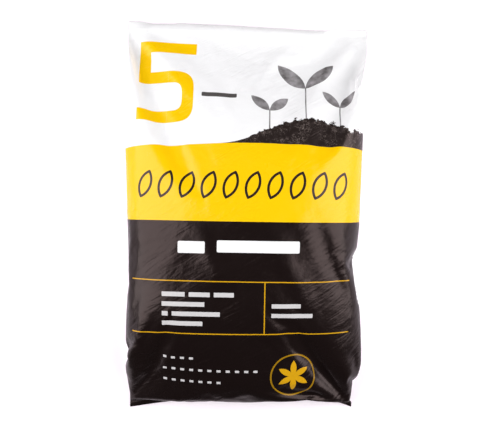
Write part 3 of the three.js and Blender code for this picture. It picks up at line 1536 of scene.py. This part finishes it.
@dataclass(frozen=True)
class BareStrip:
    """The strip beside the print at the right fold, where the white film shows, in millimetres.

    Attributes:
        edge: Right edge of the print, which goes round the side fold.
        middle: Middle of the stretch where that edge steps back.
        reach: Half the length of that stretch.
        depth: How far the edge steps back there.
        ticks: The column of small ticks on the strip.
    """

    edge: float = 140.0
    middle: float = 145.0
    reach: float = 62.0
    depth: float = 14.0
    ticks: BarLines = BarLines(130.5, 168.0, pitch=4.6, height=1.3, gap=1.0, lines=((3.0,),) * 14)

    def mask(self, wiring: Wiring, place: Socket) -> Socket:
        """Wires the mask of the film beyond the print's edge.

        Args:
            wiring: The wiring of the material.
            place: The place on the flat film, in millimetres.

        Returns:
            1 on the bare film and 0 on the print.
        """
        across, along = wiring.across_along(place)
        away = wiring.math("ABSOLUTE", wiring.math("SUBTRACT", along, self.middle))
        edge = wiring.smooth_range(away, (0.0, self.reach), (self.edge - self.depth, self.edge))
        return edge_mask(wiring, wiring.math("SUBTRACT", edge, across))


@dataclass(frozen=True)
class PrintLayout:
    """Where every field and shape of the print lies, in millimetres on the flat film.

    Attributes:
        band_bottom: Where the black foot meets the yellow band.
        band_top: Where the yellow band meets the white head.
        droop: How far the band's upper edge is lower at the side folds than in the middle.
        half_width: Where it is that much lower.
        figure: The figure 5 on the white head.
        short_bar: The short bar beside it.
        sprouts: The sprouts on the heap.
        heap: The heap behind the band.
        grains: The row of grains on the band.
        tall_bars: The two tall bars on the black foot.
        blocks: The lines of small bars and dashes below them.
        rules: The thin rules around them.
        badge: The round badge.
        strip: The bare strip at the right fold.
    """

    band_bottom: float = 206.8
    band_top: float = 286.5
    droop: float = 4.5
    half_width: float = 122.0
    figure: PlainFive = PlainFive()
    short_bar: Bar = Bar(-27.8, 340.5, 36.5, 5.0, rounding=1.0)
    sprouts: SproutRow = SproutRow()
    heap: SoilHeap = SoilHeap()
    grains: GrainRow = GrainRow()
    tall_bars: tuple[Bar, ...] = (
        Bar(-51.3, 180.5, 27.4, 12.0, rounding=1.5),
        Bar(15.7, 181.8, 82.6, 12.0, rounding=1.5),
    )
    blocks: tuple[BarLines, ...] = (
        BarLines(-80.7, 133.0, 9.9, 4.6, 4.0, ((23.4, 21.2, 20.1), (43.3,), (6.2, 48.7), (41.4,))),
        BarLines(30.0, 122.2, 10.1, 4.4, 3.0, ((29.5,), (42.0,))),
        BarLines(-81.4, 65.5, 13.2, 2.5, 5.2, ((4.2,) * 4, (4.2,) * 11, (4.2,) * 7)),
    )
    rules: RuleFrame = RuleFrame()
    badge: Badge = Badge()
    strip: BareStrip = BareStrip()

    def small_bars(self) -> Iterator[Bar]:
        """Gives the small bars and dashes of every block.

        Yields:
            A bar.
        """
        for block in self.blocks:
            yield from block.bars()

    def band_edge(self, wiring: Wiring, place: Socket) -> Socket:
        """Wires the band's upper edge, lower at the side folds than in the middle.

        Args:
            wiring: The wiring of the material.
            place: The place on the flat film, in millimetres.

        Returns:
            Where the edge lies along the film, at each place across it.
        """
        across, _ = wiring.across_along(place)
        side = wiring.math("DIVIDE", across, self.half_width)
        fall = wiring.math("MULTIPLY", wiring.math("MULTIPLY", side, side), self.droop)
        return wiring.math("SUBTRACT", self.band_top, fall)


@dataclass(frozen=True)
class Gloss:
    """How glossy and how rough a film is.

    Attributes:
        roughness: Mean roughness.
        haze: How much the roughness varies over the film.
        lumps: Height of the compost lumps that show through, in millimetres.
        creases: Height of the fine creases, in millimetres.
        tint: Colour of the film's shine.
        shine: Strength of that shine.
    """

    roughness: float = 0.26
    haze: float = 0.12
    lumps: float = 0.55
    creases: float = 0.8
    tint: tuple[float, float, float, float] = (1.0, 0.76, 0.74, 1.0)
    shine: float = 0.3


class FilmFinish:
    """A glossy polythene film with the relief of what it holds.

    Attributes:
        name: Name of the material.
        shade_cloud: Soft patches where the white film is painted a little greyer: painted shade.
    """

    name = "film"
    # Painted shade: soft patches where the white film is painted greyer.
    shade_cloud = Cloud(35.0, 0.5, -0.2)

    def __init__(self, gloss: Gloss, tube: FilmTube) -> None:
        """Takes the film's gloss and its flat size."""
        self.gloss = gloss
        self.tube = tube

    def build(self) -> bpy.types.Material:
        """Makes the material: the film's colour, its relief and its varying gloss.

        Returns:
            The finished material.
        """
        material = bpy.data.materials.new(self.name)
        material.use_nodes = True
        wiring = Wiring(material.node_tree)
        shader = material.node_tree.nodes["Principled BSDF"]
        shader.inputs["Specular Tint"].default_value = self.gloss.tint
        shader.inputs["Specular IOR Level"].default_value = self.gloss.shine
        film_map = wiring.add("UVMap", uv_map=FILM_MAP)
        scaled = wiring.add("VectorMath", operation="SCALE")
        wiring.feed(scaled.inputs[0], film_map.outputs[0])
        scaled.inputs["Scale"].default_value = MILLIMETRES
        place = scaled.outputs[0]
        wiring.feed(shader.inputs["Base Color"], self.colour(wiring, place))
        relief = wiring.group(
            FilmRelief().tree(),
            Place=place,
            Lumps=self.gloss.lumps,
            Creases=self.gloss.creases,
            Length=self.tube.length * MILLIMETRES,
        )
        bump = wiring.add("Bump")
        bump.inputs["Distance"].default_value = 1 / MILLIMETRES
        wiring.feed(bump.inputs["Height"], relief.outputs["Height"])
        wiring.feed(shader.inputs["Normal"], bump.outputs[0])
        low = self.gloss.roughness - self.gloss.haze / 2
        roughness = wiring.math("MULTIPLY_ADD", relief.outputs["Haze"], self.gloss.haze, low)
        wiring.feed(shader.inputs["Roughness"], roughness)
        return material

    def white(self, wiring: Wiring, place: Socket) -> Socket:
        """Gives white film, painted a little greyer in soft patches of painted shade."""
        # Painted shade: the greyer patches laid over the white.
        return wiring.ink(self.shade_cloud.mask(wiring, place), Ink.WHITE, Ink.SHADED_WHITE)

    def colour(self, wiring: Wiring, place: Socket) -> Socket:
        """Gives the film's colour at each place."""
        raise NotImplementedError


class PlainFilm(FilmFinish):
    """The unprinted white back of the tube."""

    name = "white_film"

    def colour(self, wiring: Wiring, place: Socket) -> Socket:
        """Gives plain white film, with its soft patches of painted shade."""
        return self.white(wiring, place)


class PrintedFilm(FilmFinish):
    """The front of the tube: white head, yellow band and black foot, with their plain shapes.

    Attributes:
        leaf_tone: Where the sprouts' leaves are lighter.
    """

    name = "printed_film"
    # Painted shade: larger greyer patches on the printed film's white.
    shade_cloud = Cloud(40.0, 0.5, -0.22)
    leaf_tone = Cloud(11.0, 2.2, -0.6)

    def __init__(self, gloss: Gloss, tube: FilmTube, layout: PrintLayout) -> None:
        """Takes the film's gloss, its flat size and the layout of its print."""
        super().__init__(gloss, tube)
        self.layout = layout

    def union(self, wiring: Wiring, place: Socket, shapes: Iterable[Bar | Ring | Leaf]) -> Socket:
        """Gives one mask of several shapes."""
        return wiring.largest([shape.mask(wiring, place) for shape in shapes])

    def below(self, wiring: Wiring, place: Socket, level: Value) -> Socket:
        """Gives the mask of everything nearer to the foot than a level."""
        _, along = wiring.across_along(place)
        return edge_mask(wiring, wiring.math("SUBTRACT", along, level))

    def colour(self, wiring: Wiring, place: Socket) -> Socket:
        """Lays the print's fields and shapes over each other.

        Args:
            wiring: The material's wiring.
            place: The place on the flat film, in millimetres.

        Returns:
            The colour at each place.
        """
        layout = self.layout
        band_edge = layout.band_edge(wiring, place)
        heap_edge = wiring.math("ADD", layout.heap.rise(wiring, place), band_edge)
        leaf = wiring.ink(self.leaf_tone.mask(wiring, place), Ink.GREY, Ink.LEAF_LIGHT)
        layers = (
            (self.union(wiring, place, layout.figure.shapes()), Ink.YELLOW),
            (layout.short_bar.mask(wiring, place), Ink.GREY),
            (self.union(wiring, place, layout.sprouts.shapes()), leaf),
            (self.below(wiring, place, heap_edge), layout.heap.colour(wiring, place)),
            (self.below(wiring, place, band_edge), Ink.YELLOW),
            (self.union(wiring, place, layout.grains.shapes()), Ink.SOIL),
            (self.below(wiring, place, layout.band_bottom), Ink.BLACK),
            (self.union(wiring, place, layout.tall_bars), Ink.WHITE),
            (self.union(wiring, place, layout.small_bars()), Ink.PALE),
            (self.union(wiring, place, layout.rules.shapes()), Ink.GOLD),
            (self.union(wiring, place, layout.badge.shapes()), Ink.GOLD),
            (layout.strip.mask(wiring, place), Ink.WHITE),
            (self.union(wiring, place, layout.strip.ticks.bars()), Ink.GREY),
        )
        colour = self.white(wiring, place)
        for mask, ink in layers:
            colour = wiring.ink(mask, colour, ink)
        return colour


@dataclass(frozen=True)
class Lamp:
    """A soft box.

    Attributes:
        name: Its name.
        place: Where it stands.
        size: Its width and height.
        power: Its power in watts.
    """

    name: str
    place: tuple[float, float, float]
    size: tuple[float, float]
    power: float

    def build(self, target: Vector) -> bpy.types.Object:
        """Makes the lamp.

        Args:
            target: What it is turned to.

        Returns:
            The lamp.
        """
        data = bpy.data.lights.new(self.name, "AREA")
        data.shape = "RECTANGLE"
        data.size, data.size_y = self.size
        data.energy = self.power
        lamp = bpy.data.objects.new(self.name, data)
        lamp.location = self.place
        lamp.rotation_euler = (target - lamp.location).to_track_quat("-Z", "Y").to_euler()
        bpy.context.collection.objects.link(lamp)
        return lamp


@dataclass
class Studio:
    """The plain white studio: floor, two soft boxes, a pale world and a camera overhead.

    Attributes:
        floor_reach: Half the side of the floor.
        floor_colour: Its colour, as linear red, green and blue.
        floor_roughness: Its roughness.
        floor_glow: How much the camera sees it lifted beside the bag.
        lit_reach: Distances from the bag's middle over which that lift grows to plain white.
        camera_place: Where the camera hangs.
        camera_turn: How far the picture is rolled, in degrees.
        focal: Focal length of the camera, in millimetres.
        lamps: The soft boxes.
        world_light: Strength of the pale world.
    """

    floor_reach: float = 3.0
    floor_colour: tuple[float, float, float] = (0.9, 0.81, 0.88)
    floor_roughness: float = 0.9
    floor_glow: float = 0.27
    lit_reach: tuple[float, float] = (0.24, 0.8)
    camera_place: tuple[float, float, float] = (0.0007, 0.0038, 0.78)
    camera_turn: float = 1.1
    focal: float = 52.9
    lamps: tuple[Lamp, ...] = (
        Lamp("left_soft_box", (-0.92, 0.05, 0.72), (0.95, 1.3), 16.0),
        Lamp("right_soft_box", (0.92, 0.05, 0.72), (0.95, 1.3), 16.0),
    )
    world_light: float = 0.06

    def build_camera(self) -> None:
        """Hangs the camera straight over the bag."""
        data = bpy.data.cameras.new("overhead_camera")
        data.lens = self.focal
        camera = bpy.data.objects.new("overhead_camera", data)
        camera.location = self.camera_place
        camera.rotation_euler = (0, 0, math.radians(self.camera_turn))
        bpy.context.collection.objects.link(camera)
        bpy.context.scene.camera = camera

    def build_floor(self) -> bpy.types.Object:
        """Lays the floor: matt white, lifted for the camera alone.

        Returns:
            The floor.
        """
        floor = flat_square("floor", self.floor_reach)
        material = bpy.data.materials.new("white_floor")
        material.use_nodes = True
        wiring = Wiring(material.node_tree)
        shader = material.node_tree.nodes["Principled BSDF"]
        wiring.feed(shader.inputs["Base Color"], (*self.floor_colour, 1.0))
        shader.inputs["Roughness"].default_value = self.floor_roughness
        place = wiring.add("TexCoord")
        away = wiring.add("VectorMath", operation="LENGTH")
        wiring.feed(away.inputs[0], place.outputs["Object"])
        glow = wiring.smooth_range(away.outputs["Value"], self.lit_reach, (self.floor_glow, 1.0))
        path = wiring.add("LightPath")
        lift = wiring.math("MULTIPLY", path.outputs["Is Camera Ray"], glow)
        wiring.feed(shader.inputs["Emission Strength"], lift)
        wiring.feed(shader.inputs["Emission Color"], PURE_WHITE)
        floor.data.materials.append(material)
        return floor

    def build_world(self) -> None:
        """Fills the world with pale light that the camera sees as white."""
        world = bpy.data.worlds.new("pale_world")
        world.use_nodes = True
        wiring = Wiring(world.node_tree)
        background = world.node_tree.nodes["Background"]
        background.inputs["Color"].default_value = PURE_WHITE
        seen = wiring.add("LightPath").outputs["Is Camera Ray"]
        strength = wiring.math("MULTIPLY_ADD", seen, 1 - self.world_light, self.world_light)
        wiring.feed(background.inputs["Strength"], strength)
        bpy.context.scene.world = world

    def build(self, target: Vector) -> bpy.types.Object:
        """Builds the whole studio around the target.

        Args:
            target: What the lamps are turned to.

        Returns:
            The floor.
        """
        self.build_camera()
        self.build_world()
        for lamp in self.lamps:
            lamp.build(target)
        return self.build_floor()


def box_lists() -> list[list[float]]:
    """Gives the lowest and highest corners of the whole object as plain lists."""
    return [[float(value) for value in corner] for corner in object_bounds()]


def main() -> None:
    """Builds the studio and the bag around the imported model."""
    logging.basicConfig(level=logging.INFO, format="%(name)s: %(message)s")
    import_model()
    model_box = box_lists()
    bpy.context.scene.view_settings.view_transform = "Standard"
    studio = Studio()
    studio.build(Vector((0, 0, model_box[1][2] / 2)))
    LOG.info("studio with %d soft boxes", len(studio.lamps))
    shell = FilledBag()
    bag = shell.build()
    front = PrintedFilm(Gloss(), shell.tube, PrintLayout())
    shell.dress(bag, front, PlainFilm(Gloss(), shell.tube))
    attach(bag, "root")
    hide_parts(NODE)
    LOG.info("bag with %d points", len(bag.data.vertices))


if __name__ == "__main__":
    main()
